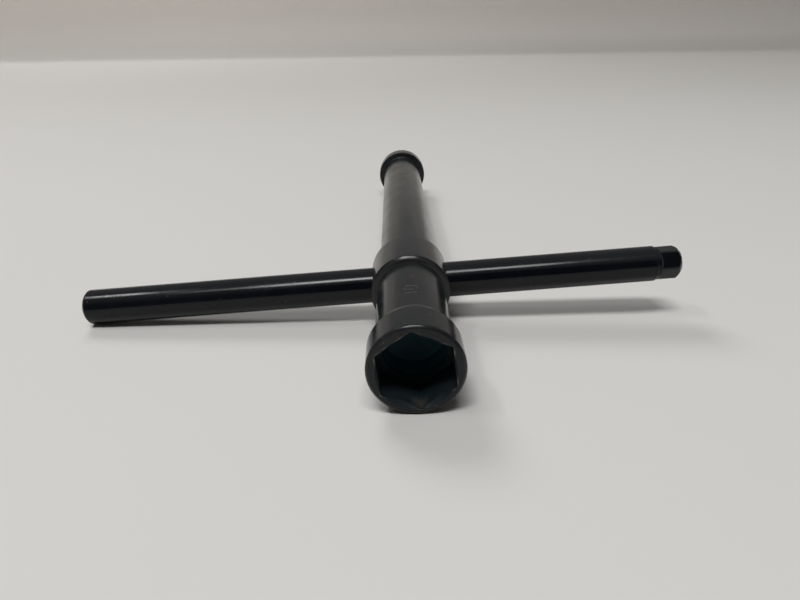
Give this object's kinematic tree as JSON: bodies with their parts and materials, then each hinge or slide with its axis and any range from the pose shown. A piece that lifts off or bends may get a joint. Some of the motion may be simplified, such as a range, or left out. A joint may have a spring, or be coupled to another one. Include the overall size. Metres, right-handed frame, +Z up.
{
  "type": "t-handle box wrench",
  "caption": "T-handle box wrench: a turned body with a hexagon socket in each end and a sliding tommy bar with a hexagon key end.",
  "frame": {"origin": "on the surface that the wrench lies on, below the middle of its bounding box", "axes": "+Z up; +Y along the wrench body, from the front socket towards the rear socket; +X towards the tommy bar's key end"},
  "size_m": [0.1018, 0.1172, 0.0132],
  "materials": {
    "black_oxide_steel": "turned steel, satin black oxide with edge wear",
    "blued_steel": "drawn bar, smooth blue-black oxide with nicks"
  },
  "bodies": {
    "wrench_body": {"wrench_body": "black_oxide_steel"},
    "tommy_bar": {"tommy_bar": "blued_steel"}
  },
  "joints": [
    {"name": "tommy_bar_slide", "type": "slide", "parent": "wrench_body", "child": "tommy_bar", "axis": [0.9979, 0, 0.0649], "range_m": [-0.0391, 0.0494]}
  ]
}
